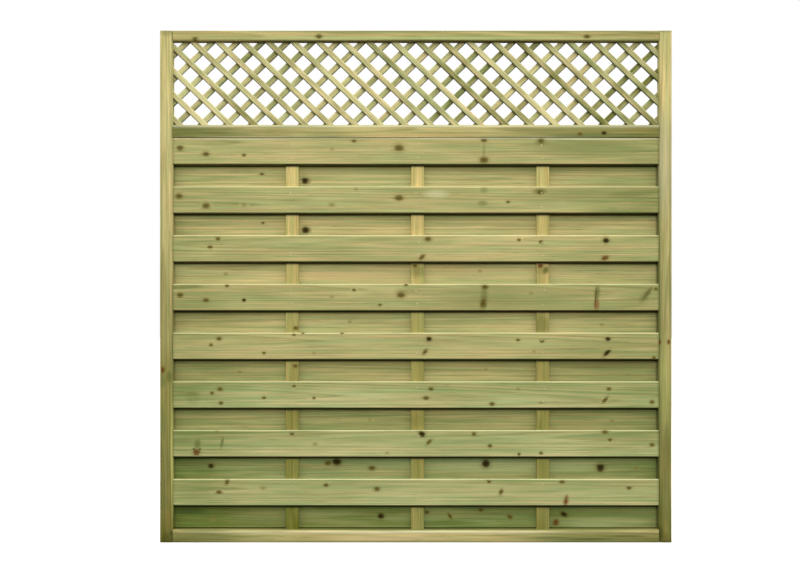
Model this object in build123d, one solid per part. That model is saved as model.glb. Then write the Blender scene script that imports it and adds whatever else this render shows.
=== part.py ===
from build123d import *
import os

# Continental fence panel: a planed softwood frame with boards on both faces of upright
# battens below the middle rail, and a strip of diamond trellis above it.
# X runs along the panel from the left stile, Y from the front (negative) to the back, Z up.
# The origin is the middle of the left stile's outer face. All sizes are in millimetres.

# Overall size
panel_width = 1800.0
panel_height = 1800.0

# Frame timbers
frame_depth = 45.0
stile_width = 45.0
top_rail_height = 38.0
middle_rail_height = 45.0
bottom_rail_height = 45.0
trellis_height = 293.0  # clear height between the top rail and the middle rail
inner_arris = 9.0  # radius of the frame's edges beside the trellis and over the boards
outer_arris = 3.0  # radius of the frame's other long edges

# Mortice and tenon joints between the rails and the stiles
tenon_thickness = 15.0
tenon_length = 30.0
tenon_shoulder = 8.0  # wood left above and below each tenon
tenon_clearance = 0.15

# Boards, in two rows: the back row closes the gaps of the front row
board_rows = 8
board_thickness = 10.0
front_board_width = 95.0
board_overlap = 9.0  # how far a back board reaches behind the front boards beside it
last_gap_extra = 6.0  # the gap over the bottom rail is this much wider than the others
board_arris = 4.5

# Upright battens between the two rows of boards
batten_names = ("left", "middle", "right")
batten_width = 45.0
batten_thickness = 16.0
batten_spacing = 442.0
batten_shift = 6.0  # how far the middle batten stands right of the panel's middle
batten_arris = 2.0

# Trellis: two layers of slanting laths, in a groove round the opening
lath_width = 20.0
lath_thickness = 8.0
lath_pitch = 88.5  # from lath to lath along a rail
lath_slope = 43.7  # degrees from the level
lath_chamfer = 2.0  # on the outer edges of each layer
front_lath_shift = -11.6  # where a front lath crosses mid height, right of the panel's middle
back_lath_shift = 11.8  # the same for a back lath
groove_depth = 8.0
groove_clearance = 0.3

# Levels and places that follow from the sizes
top = panel_height / 2
bottom = -panel_height / 2
top_rail_underside = top - top_rail_height
middle_rail_top = top_rail_underside - trellis_height
middle_rail_underside = middle_rail_top - middle_rail_height
bottom_rail_top = bottom + bottom_rail_height
opening_left = stile_width
opening_right = panel_width - stile_width
opening_width = opening_right - opening_left
boarded_height = middle_rail_underside - bottom_rail_top
row_pitch = (boarded_height - last_gap_extra) / board_rows
board_gap = row_pitch - front_board_width
front_board_y = -(batten_thickness + board_thickness) / 2
back_board_y = -front_board_y


def upright_plane(x, z):
    """The plane of an upright bar's lower end: its own Y is the panel's X."""
    return Plane(origin=(x, 0, z), x_dir=(0, -1, 0), z_dir=(0, 0, 1))


def level_plane(y, z):
    """The plane of a level bar's left end, at the left stile: its own Y is the panel's Z."""
    return Plane(origin=(opening_left, y, z), x_dir=(0, 1, 0), z_dir=(1, 0, 0))


def planed_bar(plane, depth, width, length, low_arris, high_arris):
    """A bar drawn from the plane, its edges rounded on its low side and on its high side."""
    section = Rectangle(depth, width)
    section = fillet(section.vertices().group_by(Axis.Y)[0], low_arris)
    section = fillet(section.vertices().group_by(Axis.Y)[-1], high_arris)
    return extrude(plane * section, length)


def box_between(low, high):
    """A box from its low corner to its high corner."""
    size = [b - a for a, b in zip(low, high)]
    return Pos(*low) * Box(*size, align=(Align.MIN, Align.MIN, Align.MIN))


def tenon_block(underside, upper_side, clearance):
    """A rail's left tenon, or with a clearance the space that it is driven into."""
    half = tenon_thickness / 2 + clearance
    low = (opening_left - tenon_length - clearance, -half, underside + tenon_shoulder - clearance)
    high = (opening_left, half, upper_side - tenon_shoulder + clearance)
    return box_between(low, high)


def mirrored(shape):
    """The same shape at the other end of the panel."""
    return mirror(shape, about=Plane.YZ.offset(panel_width / 2))


def trellis_seat(clearance):
    """The opening over the middle rail with its groove, drawn in by a clearance."""
    reach = groove_depth - clearance
    half = lath_thickness + groove_clearance - clearance
    low = (opening_left - reach, -half, middle_rail_top - reach)
    high = (opening_right + reach, half, top_rail_underside + reach)
    return box_between(low, high)


def rail(underside, upper_side, low_arris, high_arris):
    """A rail with a tenon at each end, grooved where the trellis stands in it."""
    height = upper_side - underside
    plane = level_plane(0, underside + height / 2)
    body = planed_bar(plane, frame_depth, height, opening_width, low_arris, high_arris)
    tenon = tenon_block(underside, upper_side, 0)
    return body + tenon + mirrored(tenon) - trellis_seat(0)


def left_stile():
    """The left stile, with its three mortices and the trellis groove."""
    plane = upright_plane(stile_width / 2, bottom)
    stile = planed_bar(plane, frame_depth, stile_width, panel_height, outer_arris, inner_arris)
    rail_levels = (
        (top_rail_underside, top),
        (middle_rail_underside, middle_rail_top),
        (bottom, bottom_rail_top),
    )
    for underside, upper_side in rail_levels:
        stile -= tenon_block(underside, upper_side, tenon_clearance)
    return stile - trellis_seat(0)


def batten(index):
    """An upright batten between the middle rail and the bottom rail."""
    steps_from_middle = index - (len(batten_names) - 1) / 2
    x = panel_width / 2 + batten_shift + steps_from_middle * batten_spacing
    plane = upright_plane(x, bottom_rail_top)
    return planed_bar(plane, batten_thickness, batten_width, boarded_height, batten_arris, batten_arris)


def board(y, low, high):
    """A level board between the stiles, with all its long edges eased."""
    plane = level_plane(y, (low + high) / 2)
    return planed_bar(plane, board_thickness, high - low, opening_width, board_arris, board_arris)


def front_board(row):
    """A board of the front row. Row 0 is under the middle rail."""
    high = middle_rail_underside - row * row_pitch
    return board(front_board_y, high - front_board_width, high)


def back_board(row):
    """The board behind the gap under a front board. The last one stands on the bottom rail."""
    gap_top = middle_rail_underside - row * row_pitch - front_board_width
    low = max(gap_top - board_gap - board_overlap, bottom_rail_top)
    if row == board_rows - 1:
        low = bottom_rail_top
    return board(back_board_y, low, gap_top + board_overlap)


def lath_bar(outer_side):
    """A long level lath with the two edges of its outer side, -1 front or 1 back, chamfered."""
    bar = Box(2 * trellis_height, lath_thickness, lath_width)
    outer_face = bar.faces().sort_by(Axis.Y)[0 if outer_side < 0 else -1]
    return chamfer(outer_face.edges().filter_by(Axis.X), lath_chamfer)


def lath_layer(outer_side, slope, shift):
    """One layer of slanting laths, cut to the opening and its groove."""
    y = outer_side * lath_thickness / 2
    middle_z = (middle_rail_top + top_rail_underside) / 2
    seat = trellis_seat(groove_clearance)
    steps = int((opening_width + trellis_height) / 2 / lath_pitch) + 1
    laths = []
    for step in range(-steps, steps + 1):
        x = panel_width / 2 + shift + step * lath_pitch
        lath = Pos(x, y, middle_z) * Rot(0, slope, 0) * lath_bar(outer_side) & seat
        laths += lath.solids() if lath else []
    return laths


def trellis():
    """Both layers of laths, fused where they cross. A scrap that crosses no lath is left out."""
    front = lath_layer(-1, lath_slope, front_lath_shift)
    back = lath_layer(1, -lath_slope, back_lath_shift)
    laths = front + back
    fused = laths[0].fuse(*laths[1:])
    return max(fused.solids(), key=lambda solid: solid.volume)


pieces = {
    "left_stile": left_stile(),
    "right_stile": mirrored(left_stile()),
    "top_rail": rail(top_rail_underside, top, inner_arris, outer_arris),
    "middle_rail": rail(middle_rail_underside, middle_rail_top, outer_arris, inner_arris),
    "bottom_rail": rail(bottom, bottom_rail_top, outer_arris, inner_arris),
    "trellis": trellis(),
}
for index, name in enumerate(batten_names):
    pieces[f"{name}_batten"] = batten(index)
for row in range(board_rows):
    pieces[f"front_board_{row + 1}"] = front_board(row)
    pieces[f"back_board_{row + 1}"] = back_board(row)

os.makedirs("parts", exist_ok=True)
for name, piece in pieces.items():
    export_step(piece.solid(), f"parts/{name}.step")
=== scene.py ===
"""The look of a continental fence panel: its treated pine, its nails and staples, and the studio.

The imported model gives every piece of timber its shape. This script gives each one its grain,
knots and stains, adds the fasteners, and sets the floor, the light and the camera.
"""

import logging
import math
import random
from dataclasses import dataclass
from enum import Enum
from typing import Any, Iterator, Optional, Sequence, Union

import bmesh
import bpy
from mathutils import Matrix, Vector


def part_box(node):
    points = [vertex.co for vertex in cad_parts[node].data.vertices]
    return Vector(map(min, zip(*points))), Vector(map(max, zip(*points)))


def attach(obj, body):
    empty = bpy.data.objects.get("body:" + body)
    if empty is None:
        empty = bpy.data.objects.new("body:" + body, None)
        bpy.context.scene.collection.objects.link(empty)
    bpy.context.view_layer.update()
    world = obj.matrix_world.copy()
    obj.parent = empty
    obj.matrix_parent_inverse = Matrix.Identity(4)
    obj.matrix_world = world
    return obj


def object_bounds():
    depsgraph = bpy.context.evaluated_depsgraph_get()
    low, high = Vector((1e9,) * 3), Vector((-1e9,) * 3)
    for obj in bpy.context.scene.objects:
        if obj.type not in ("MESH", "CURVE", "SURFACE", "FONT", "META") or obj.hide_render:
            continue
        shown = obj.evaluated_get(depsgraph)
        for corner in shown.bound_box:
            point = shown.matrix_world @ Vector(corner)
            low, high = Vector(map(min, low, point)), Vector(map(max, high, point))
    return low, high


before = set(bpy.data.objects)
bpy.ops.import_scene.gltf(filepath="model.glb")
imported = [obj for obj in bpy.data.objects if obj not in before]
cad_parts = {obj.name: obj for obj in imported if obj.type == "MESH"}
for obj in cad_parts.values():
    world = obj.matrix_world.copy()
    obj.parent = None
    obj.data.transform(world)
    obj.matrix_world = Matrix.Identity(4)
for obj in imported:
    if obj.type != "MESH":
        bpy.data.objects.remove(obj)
CAD_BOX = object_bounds()
MM = 0.001
# So far that a pattern drawn out to it doesn't change on the piece, and a knot there doesn't show.
FAR = 1000.0
LOG = logging.getLogger("fence_panel")

Colour = tuple[float, float, float, float]
Socket = bpy.types.NodeSocket
Value = Union[float, Socket]
Inputs = Union[Sequence[Any], dict[Union[int, str], Any]]

# A Mix node's sockets go by number, because those for numbers, vectors and colours share names.
NUMBER_A, NUMBER_B = 2, 3
VECTOR_A, VECTOR_B, MIXED_VECTOR = 4, 5, 1
MIX_A, MIX_B, MIXED = 6, 7, 2
COLOURS = {"data_type": "RGBA"}
TINTED = {"data_type": "RGBA", "blend_type": "MULTIPLY"}
SMOOTH = {"interpolation_type": "SMOOTHSTEP"}


def linear(hex_colour: str) -> Colour:
    """Turns an sRGB hex colour into the linear values that a shader takes.

    Args:
        hex_colour: The colour, such as "#c8b47a".

    Returns:
        Red, green, blue and an alpha of 1.
    """
    channels = [int(hex_colour[i:i + 2], 16) / 255 for i in (1, 3, 5)]
    red, green, blue = (
        c / 12.92 if c <= 0.04045 else ((c + 0.055) / 1.055) ** 2.4 for c in channels)
    return red, green, blue, 1.0


def add_node(
    tree: bpy.types.NodeTree,
    kind: str,
    inputs: Inputs = (),
    out: Union[int, str] = 0,
    **settings: Any,
) -> Optional[Socket]:
    """Adds a node, with its settings, its values and its links.

    Args:
        tree: The node tree that gets it.
        kind: The node's type, without the leading "ShaderNode".
        inputs: Its inputs in order, or by number or name. Each is a value or a socket to link.
        out: The output that is wanted, by number or name.
        settings: Properties of the node itself.

    Returns:
        The output that is wanted, or None from a node that has none.
    """
    node = tree.nodes.new("ShaderNode" + kind)
    for name, value in settings.items():
        setattr(node, name, value)
    for key, value in inputs.items() if isinstance(inputs, dict) else enumerate(inputs):
        if isinstance(value, Socket):
            tree.links.new(value, node.inputs[key])
        else:
            node.inputs[key].default_value = value
    return node.outputs[out] if node.outputs else None


@dataclass(frozen=True)
class Photograph:
    """The photograph's frame, where the panel stands in it, and how far off the camera was.

    The distance is in metres, and the rest in pixels.
    """

    wide: int = 800
    high: int = 571
    panel_left: float = 160.4
    panel_right: float = 671.3
    panel_top: float = 30.1
    panel_foot: float = 543.0
    distance: float = 5.2

    def middle(self) -> tuple[float, float]:
        """The panel's middle, in pixels across and down."""
        return (self.panel_left + self.panel_right) / 2, (self.panel_top + self.panel_foot) / 2

    def metres_per_pixel(self) -> float:
        """The size of a pixel at the panel's front face."""
        pixels = (self.panel_right - self.panel_left + self.panel_foot - self.panel_top) / 2
        return (CAD_BOX[1].x - CAD_BOX[0].x) / pixels

    def place(self, across: float, down: float, face: float) -> tuple[float, float]:
        """Where on the panel a pixel falls.

        Args:
            across: Pixels from the photograph's left edge.
            down: Pixels from its top edge.
            face: The Y of the face that shows there, in metres.

        Returns:
            The panel's X and Z, in metres.
        """
        low, high = CAD_BOX
        middle = self.middle()
        metres = self.metres_per_pixel() * (1 + (face - low.y) / self.distance)
        x = (low.x + high.x) / 2 + (across - middle[0]) * metres
        z = (low.z + high.z) / 2 - (down - middle[1]) * metres
        return x, z


PHOTO = Photograph()


class Grain(Enum):
    """The way that a piece's grain runs, as the turn about Y that lays it along X."""

    LEVEL = 0.0
    UPRIGHT = math.radians(90)
    FALLING = math.radians(-43.7)
    RISING = math.radians(43.7)

    def turn(self, x: float, z: float) -> tuple[float, float]:
        """Where a point of the panel lies along and across this grain."""
        c, s = math.cos(self.value), math.sin(self.value)
        return x * c + z * s, -x * s + z * c


@dataclass(frozen=True)
class KnotLook:
    """The colours of one kind of knot.

    strength is how far it covers the wood, from 0 to 1, and swirl how many rings it pushes the
    growth rings aside by.
    """

    heart: str
    rim: str
    strength: float
    swirl: float


class KnotKind(Enum):
    """The knots that show in the boards: live ones, dead ones in bark, red ones and faint ones."""

    TIGHT = KnotLook(heart="#46380c", rim="#6a5c24", strength=0.85, swirl=0.35)
    DEAD = KnotLook(heart="#161300", rim="#473a0a", strength=0.97, swirl=0.3)
    RED = KnotLook(heart="#54260a", rim="#6a481c", strength=0.85, swirl=0.3)
    FAINT = KnotLook(heart="#75662f", rim="#82763c", strength=0.45, swirl=0.2)


@dataclass(frozen=True)
class Knot:
    """A knot, at a pixel of the photograph.

    size is its radius in millimetres, stretch its length over its width, and tilt the turn of
    its length from the level, in degrees anticlockwise.
    """

    across: float
    down: float
    size: float = 9.0
    kind: KnotKind = KnotKind.TIGHT
    stretch: float = 1.4
    tilt: float = 0.0


@dataclass(frozen=True)
class Stain:
    """A soft patch of another colour, at a pixel.

    half_length and half_width are in pixels, strength is how far it covers the wood, from 0 to 1,
    and tilt is the turn of its length from the level, in degrees anticlockwise.
    """

    across: float
    down: float
    half_length: float
    half_width: float
    colour: str
    strength: float = 0.6
    tilt: float = 0.0


@dataclass(frozen=True)
class Wear:
    """How weathered a piece is, from 0 to 1: at its top and foot, and how much more at its ends."""

    top: float = 0.4
    foot: float = 0.4
    left: float = 0.0
    right: float = 0.0


@dataclass(frozen=True)
class TreatedPine:
    """Pressure-treated planed pine.

    The copper salts give straw-coloured wood a green cast, strongest in the streaks that drink
    most, and planing leaves it matt, with the late wood of each ring a little darker and harder.
    Weather turns it olive, first along edges and at the ends, where it stays damp. Its pale upper
    arrises are a painted highlight, and the near-black on its lower arrises, at its ends by the
    frame and in the slots under the boards is painted shade.
    """

    fresh: str = "#d0c694"
    weathered: str = "#727c45"
    green_cast: str = "#e6f3dc"
    warm_cast: str = "#fff1e2"
    late_wood: str = "#d9dbcc"
    # The upper arrises are lightened with this colour as a painted highlight.
    painted_highlight: str = "#ece5b4"
    # Near-black painted shade: on the lower arrises, at the ends where they meet the frame, in the
    # slots under the boards and on the laths' lower edges.
    shade_paint: str = "#191900"
    split: str = "#8c8a66"
    ring_width_mm: float = 5.5
    pith_depth_mm: float = 34.0
    # Fibres are under 1 mm wide. They are drawn 4 mm wide, a pixel in the render, so as to show.
    fibre_width_mm: float = 4.0
    fibre_length_mm: float = 150.0
    fibre_depth: float = 0.17
    streak_width_mm: float = 9.0
    streak_length_mm: float = 320.0
    streak_depth: float = 0.06
    cloud_width_mm: float = 70.0
    cloud_length_mm: float = 380.0
    patchiness: float = 0.13
    # Drying splits are hair-fine, and are drawn 2 mm wide for the same reason.
    split_width_mm: float = 2.0
    split_length_mm: float = 70.0
    # The rings sway by up to this much to either side, in 2.2 bends to the metre along the grain
    # and 14 across it.
    waviness_mm: float = 2.4
    bend_length_mm: float = 1000 / 2.2
    bend_width_mm: float = 1000 / 14
    damp_reach_mm: float = 400.0
    # How far in from the ends the painted shade reaches where they meet the frame, and how dark the
    # painted shade is on a lower arris and in the slots.
    shaded_end_mm: float = 10.0
    edge_shade: float = 0.75
    slot_shade: float = 0.9
    early_roughness: float = 0.78
    late_roughness: float = 0.64
    ior: float = 1.5
    # Open fibres scatter more than a smooth coat would, so the shine is a fifth of the usual.
    shine: float = 0.1
    # How deep the late wood and the knots' bark lie, as shares of the relief between the fibres.
    relief_mm: float = 0.35
    late_hollow: float = 0.35
    bark_hollow: float = 0.8


@dataclass(frozen=True)
class SlotShade:
    """The painted shade in the slots under a row of overhanging boards.

    first is the height of the topmost board's lower edge, pitch the step to the next one's, and
    deep how far down the painted shade reaches, all in metres. behind is true where it lies on the
    back of the piece.
    """

    first: float
    pitch: float
    behind: bool
    deep: float = 0.011


@dataclass(frozen=True)
class Timber:
    """What sets one piece of timber apart: its grain, wear, and marks.

    shade is a factor on its brightness. pith_mm is how far across the pith runs from the
    piece's middle, and drift how much it leaves the piece's length, as a slope. highlight_mm is the
    size of a level piece's upper arris, which gets a painted highlight, and worn how strong that
    is, from 0 to 1. shaded_edge_mm is the size of its lower one, which gets painted shade. nooks is
    how dark the painted shade is where its left and right ends meet the frame, from 0 to 1.
    """

    grain: Grain
    seed: int
    wear: Wear = Wear()
    shade: float = 1.0
    pith_mm: float = 0.0
    drift: float = 0.012
    highlight_mm: float = 0.0
    worn: float = 0.4
    shaded_edge_mm: float = 0.0
    shaded_ends: tuple[float, float] = (0.0, 0.0)
    knots: Sequence[Knot] = ()
    stains: Sequence[Stain] = ()
    slots: Sequence[SlotShade] = ()


class TimberPattern:
    """Draws the grain of one piece of timber as a node tree."""

    def __init__(
        self, name: str, finish: TreatedPine, timber: Timber, box: tuple[Vector, Vector]
    ) -> None:
        """Starts the material.

        Args:
            name: The material's name.
            finish: The wood and its treatment.
            timber: The piece's own grain, wear and marks.
            box: The piece's lowest and highest corners.
        """
        self.finish = finish
        self.timber = timber
        self.low, self.high = box
        self.material = bpy.data.materials.new(name)
        self.material.use_nodes = True
        self.tree = self.material.node_tree
        self.tree.nodes.clear()
        self.place = self.add("TexCoord", out="Object")
        parts = self.add("SeparateXYZ", (self.place,)).node.outputs
        self.from_left, self.depth, self.height = parts
        self.along, self.centre = self.grain_space()
        self.wavy = self.wander()
        self.cloud = self.noise(finish.cloud_length_mm, finish.cloud_width_mm, 2.0, 11.0)
        self.streak = self.noise(finish.streak_length_mm, finish.streak_width_mm, 3.0, 23.0)
        self.fibre = self.noise(finish.fibre_length_mm, finish.fibre_width_mm, 3.0, 37.0)
        self.split = self.noise(finish.split_length_mm, finish.split_width_mm, 1.0, 53.0)

    def add(
        self, kind: str, inputs: Inputs = (), out: Union[int, str] = 0, **settings: Any
    ) -> Optional[Socket]:
        """Adds a node to this material, as add_node does."""
        return add_node(self.tree, kind, inputs, out, **settings)

    def grain_space(self) -> tuple[Socket, tuple[float, float]]:
        """Lays the grain along X, with depth as Y.

        Returns:
            The place as the grain has it, and where the piece's middle is along and across it.
        """
        turn = (0.0, self.timber.grain.value, 0.0)
        along = self.add("Mapping", {"Vector": self.place, "Rotation": turn})
        middle = (self.low + self.high) / 2
        return along, self.timber.grain.turn(middle.x, middle.z)

    def own_wear(self) -> Value:
        """Weathers the piece more at its ends.

        Returns:
            How much more weathered than the piece as a whole a part of it is.
        """
        wear, reach = self.timber.wear, self.finish.damp_reach_mm * MM
        if not wear.left and not wear.right:
            return 0.0
        start, stop = (self.low.x, self.low.x + reach), (self.high.x - reach, self.high.x)
        left = self.add("MapRange", (self.from_left, *start, wear.left, 0.0), **SMOOTH)
        right = self.add("MapRange", (self.from_left, *stop, 0.0, wear.right), **SMOOTH)
        ends = self.add("Math", (left, right), operation="ADD")
        ragged = self.add("MapRange", (self.streak, 0.3, 0.7, 1.25, 0.75))
        return self.add("Math", (ends, ragged), operation="MULTIPLY")

    def noise(self, length_mm: float, width_mm: float, detail: float, shift: float) -> Socket:
        """Noise drawn out along the grain, from about 0.2 to 0.8.

        Args:
            length_mm: How long its patches are.
            width_mm: How wide they are.
            detail: How many finer layers it has.
            shift: What sets it apart from the piece's other patterns.

        Returns:
            The noise's value.
        """
        scale = (1 / (length_mm * MM), 1 / (width_mm * MM), 1 / (width_mm * MM))
        offset = (self.timber.seed * 3.7 + shift, shift * 1.9, self.timber.seed * 1.3)
        vector = self.add("Mapping", {"Vector": self.along, "Location": offset, "Scale": scale})
        return self.add("TexNoise", {
            "Vector": vector, "Scale": 1.0, "Detail": detail, "Roughness": 0.6,
        })

    def wander(self) -> Socket:
        """Gives the grain the slow waviness that a stem's rings have.

        Returns:
            The place on the piece, swaying.
        """
        offset = (self.timber.seed * 5.3, 0.0, 0.0)
        long, wide = self.finish.bend_length_mm * MM, self.finish.bend_width_mm * MM
        scale = (1 / long, 1 / wide, 1 / wide)
        vector = self.add("Mapping", {"Vector": self.along, "Location": offset, "Scale": scale})
        colour = self.add("TexNoise", {"Vector": vector, "Scale": 1.0, "Detail": 2.0}, "Color")
        reach = 2 * self.finish.waviness_mm * MM
        shift = self.add("VectorMath", (colour, (0.5, 0.5, 0.5)), operation="SUBTRACT")
        shift = self.add("VectorMath", (shift, (0.0, reach, reach)), operation="MULTIPLY")
        return self.add("VectorMath", (self.along, shift), operation="ADD")

    def spot(
        self, across: float, down: float, half_length: float, half_width: float, tilt: float
    ) -> Socket:
        """How far a place is from a spot of the photograph, in the spot's own half sizes.

        Args:
            across: The spot's pixel from the left.
            down: Its pixel from the top.
            half_length: Its half length, in metres.
            half_width: Its half width, in metres.
            tilt: The turn of its length from the level, in degrees.

        Returns:
            0 at its middle, 1 at its rim.
        """
        x, z = self.timber.grain.turn(*PHOTO.place(across, down, self.low.y))
        vector = self.add("Mapping", {
            "Vector": self.wavy,
            "Location": (x, 0.0, z),
            "Rotation": (0.0, self.timber.grain.value - math.radians(tilt), 0.0),
            "Scale": (half_length, FAR, half_width),
        }, vector_type="TEXTURE")
        return self.add("VectorMath", (vector,), "Value", operation="LENGTH")

    def nearest(self, knots: Sequence[Knot]) -> Socket:
        """Measures from a place to the nearest knot, whose rim is ragged.

        Args:
            knots: The knots.

        Returns:
            How far it is, in its own radii.
        """
        distance: Value = FAR
        for knot in knots:
            size = knot.size * MM
            away = self.spot(knot.across, knot.down, size * knot.stretch, size, knot.tilt)
            distance = self.add("Math", (distance, away), operation="MINIMUM")
        ragged = self.add("MapRange", (self.fibre, 0.3, 0.7, -0.18, 0.18))
        return self.add("Math", (distance, ragged), operation="ADD")

    def rings(self, swirl: Value) -> Socket:
        """The late wood of the growth rings, cut by the piece's faces.

        Args:
            swirl: How many rings the knots push the others aside by.

        Returns:
            How much late wood there is, from 0 to 1.
        """
        x, z = self.centre
        width = self.finish.ring_width_mm * MM
        vector = self.add("Mapping", {
            "Vector": self.wavy,
            "Location": (x, self.finish.pith_depth_mm * MM, z + self.timber.pith_mm * MM),
            "Rotation": (0.0, self.timber.drift, self.timber.drift * 0.7),
            "Scale": (FAR, width, width),
        }, vector_type="TEXTURE")
        number = self.add("VectorMath", (vector,), "Value", operation="LENGTH")
        number = self.add("Math", (number, swirl), operation="ADD")
        phase = self.add("Math", (number,), operation="FRACT")
        rise = self.add("MapRange", (phase, 0.25, 0.86), **SMOOTH)
        drop = self.add("MapRange", (phase, 0.9, 1.0, 1.0, 0.0), **SMOOTH)
        late = self.add("Math", (rise, drop), operation="MULTIPLY")
        uneven = self.add(
            "TexNoise", {"W": number, "Scale": 0.83, "Detail": 1.0}, noise_dimensions="1D")
        strength = self.add("MapRange", (uneven, 0.3, 0.7, 0.2, 1.0), **SMOOTH)
        return self.add("Math", (late, strength), operation="MULTIPLY")

    def clear_wood(self, late: Socket) -> Socket:
        """The colour of the wood between its marks.

        Args:
            late: How much late wood there is.

        Returns:
            The colour.
        """
        finish, timber = self.finish, self.timber
        upright = (self.low.z, self.high.z, timber.wear.foot, timber.wear.top)
        wear = self.add("MapRange", (self.height, *upright))
        uneven = finish.patchiness
        patchy = self.add("MapRange", (self.cloud, 0.25, 0.75, -uneven, uneven), **SMOOTH)
        wear = self.add("Math", (wear, patchy), operation="ADD")
        wear = self.add("Math", (wear, self.own_wear()), operation="ADD")
        fresh, weathered = linear(finish.fresh), linear(finish.weathered)
        wood = self.add("Mix", {0: wear, MIX_A: fresh, MIX_B: weathered}, MIXED, **COLOURS)
        warm = self.add("MapRange", (self.streak, 0.34, 0.66), **SMOOTH)
        green_cast, warm_cast = linear(finish.green_cast), linear(finish.warm_cast)
        cast = self.add("Mix", {0: warm, MIX_A: green_cast, MIX_B: warm_cast}, MIXED, **COLOURS)
        split = self.add("MapRange", (self.split, 0.7, 0.76, 0.0, 0.5), **SMOOTH)
        tints = ((1.0, cast), (late, linear(finish.late_wood)), (split, linear(finish.split)))
        for amount, tint in tints:
            wood = self.add("Mix", {0: amount, MIX_A: wood, MIX_B: tint}, MIXED, **TINTED)
        shade, fibres, streaks = timber.shade, finish.fibre_depth, finish.streak_depth
        span = (shade * (1 - fibres), shade * (1 + fibres))
        light = self.add("MapRange", (self.fibre, 0.25, 0.75, *span))
        streaky = self.add("MapRange", (self.streak, 0.3, 0.7, 1 - streaks, 1 + streaks))
        light = self.add("Math", (light, streaky), operation="MULTIPLY")
        return self.add("VectorMath", {0: wood, "Scale": light}, operation="SCALE")

    def coats(self) -> Iterator[tuple[Socket, str]]:
        """Stains, then the painted highlight and shade of arrises, ends and slots, lowest first.

        Yields:
            How much of the coat there is, from 0 to 1, and its colour.
        """
        finish, timber = self.finish, self.timber
        pixel = PHOTO.metres_per_pixel()
        broken = self.add("MapRange", (self.streak, 0.3, 0.6, 0.7, 1.0))
        for stain in timber.stains:
            size = (stain.half_length * pixel, stain.half_width * pixel)
            away = self.spot(stain.across, stain.down, *size, stain.tilt)
            mask = self.add("MapRange", (away, 0.3, 1.2, stain.strength, 0.0), **SMOOTH)
            yield self.add("Math", (mask, broken), operation="MULTIPLY"), stain.colour
        # A painted highlight on the upper arris.
        if timber.highlight_mm:
            top, deep = self.high.z, timber.highlight_mm * MM
            span = (top - deep, top - 0.3 * deep, 0.0, timber.worn)
            yield self.add("MapRange", (self.height, *span), **SMOOTH), finish.painted_highlight
        # Painted shade on the lower arris.
        if timber.shaded_edge_mm:
            foot, deep = self.low.z, timber.shaded_edge_mm * MM
            span = (foot + 0.4 * deep, foot + 1.1 * deep, finish.edge_shade, 0.0)
            yield self.add("MapRange", (self.height, *span), **SMOOTH), finish.shade_paint
        # Painted shade where the ends meet the frame.
        end_reach = finish.shaded_end_mm * MM
        for strength, end, reach in zip(timber.shaded_ends, (self.low.x, self.high.x), (end_reach, -end_reach)):
            if strength:
                span = (end, end + reach, strength, 0.0)
                yield self.add("MapRange", (self.from_left, *span), **SMOOTH), finish.shade_paint
        # Painted shade in the slots under the boards.
        for slots in timber.slots:
            yield self.slot_shade(slots), finish.shade_paint

    def slot_shade(self, slots: SlotShade) -> Socket:
        """Where shade is painted under a row of boards.

        Args:
            slots: The slots under them.

        Returns:
            How dark the painted shade is, from 0 to the finish's own slot_shade.
        """
        drop = self.add("Math", (slots.first, self.height), operation="SUBTRACT")
        under = self.add("Math", (drop, 0.0), operation="GREATER_THAN")
        drop = self.add("Math", (drop, slots.pitch, 0.0), operation="WRAP")
        span = (0.35 * slots.deep, slots.deep, self.finish.slot_shade, 0.0)
        painted_shade = self.add("MapRange", (drop, *span), **SMOOTH)
        side = self.add("Math", (self.depth, (self.low.y + self.high.y) / 2),
                        operation="GREATER_THAN" if slots.behind else "LESS_THAN")
        painted_shade = self.add("Math", (painted_shade, side), operation="MULTIPLY")
        return self.add("Math", (painted_shade, under), operation="MULTIPLY")

    def build(self) -> bpy.types.Material:
        """Joins the patterns to the surface.

        Returns:
            The finished material.
        """
        finish = self.finish
        chains = {}
        swirl: Value = 0.0
        for kind in KnotKind:
            of_kind = [knot for knot in self.timber.knots if knot.kind is kind]
            if of_kind:
                chains[kind] = self.nearest(of_kind)
                span = (0.5, 2.5, kind.value.swirl, 0.0)
                push = self.add("MapRange", (chains[kind], *span), **SMOOTH)
                swirl = self.add("Math", (swirl, push), operation="ADD")
        late = self.rings(swirl)
        wood = self.clear_wood(late)
        for amount, colour in self.coats():
            coat = {0: amount, MIX_A: wood, MIX_B: linear(colour)}
            wood = self.add("Mix", coat, MIXED, **COLOURS)
        hollow = self.add("Math", (late, finish.late_hollow), operation="MULTIPLY")
        for kind, distance in chains.items():
            wood, bark = self.knotted(wood, kind.value, distance)
            hollow = self.add("Math", (bark, finish.bark_hollow, hollow), operation="MULTIPLY_ADD")
        relief = self.add("Math", (self.fibre, hollow), operation="SUBTRACT")
        deep = finish.relief_mm * MM
        bump = self.add("Bump", {"Strength": 0.6, "Distance": deep, "Height": relief})
        rough = (finish.early_roughness, finish.late_roughness)
        surface = self.add("BsdfPrincipled", {
            "Base Color": wood, "Roughness": self.add("MapRange", (late, 0.0, 1.0, *rough)),
            "Normal": bump, "IOR": finish.ior, "Specular IOR Level": finish.shine,
        })
        self.add("OutputMaterial", {"Surface": surface})
        return self.material

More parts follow.
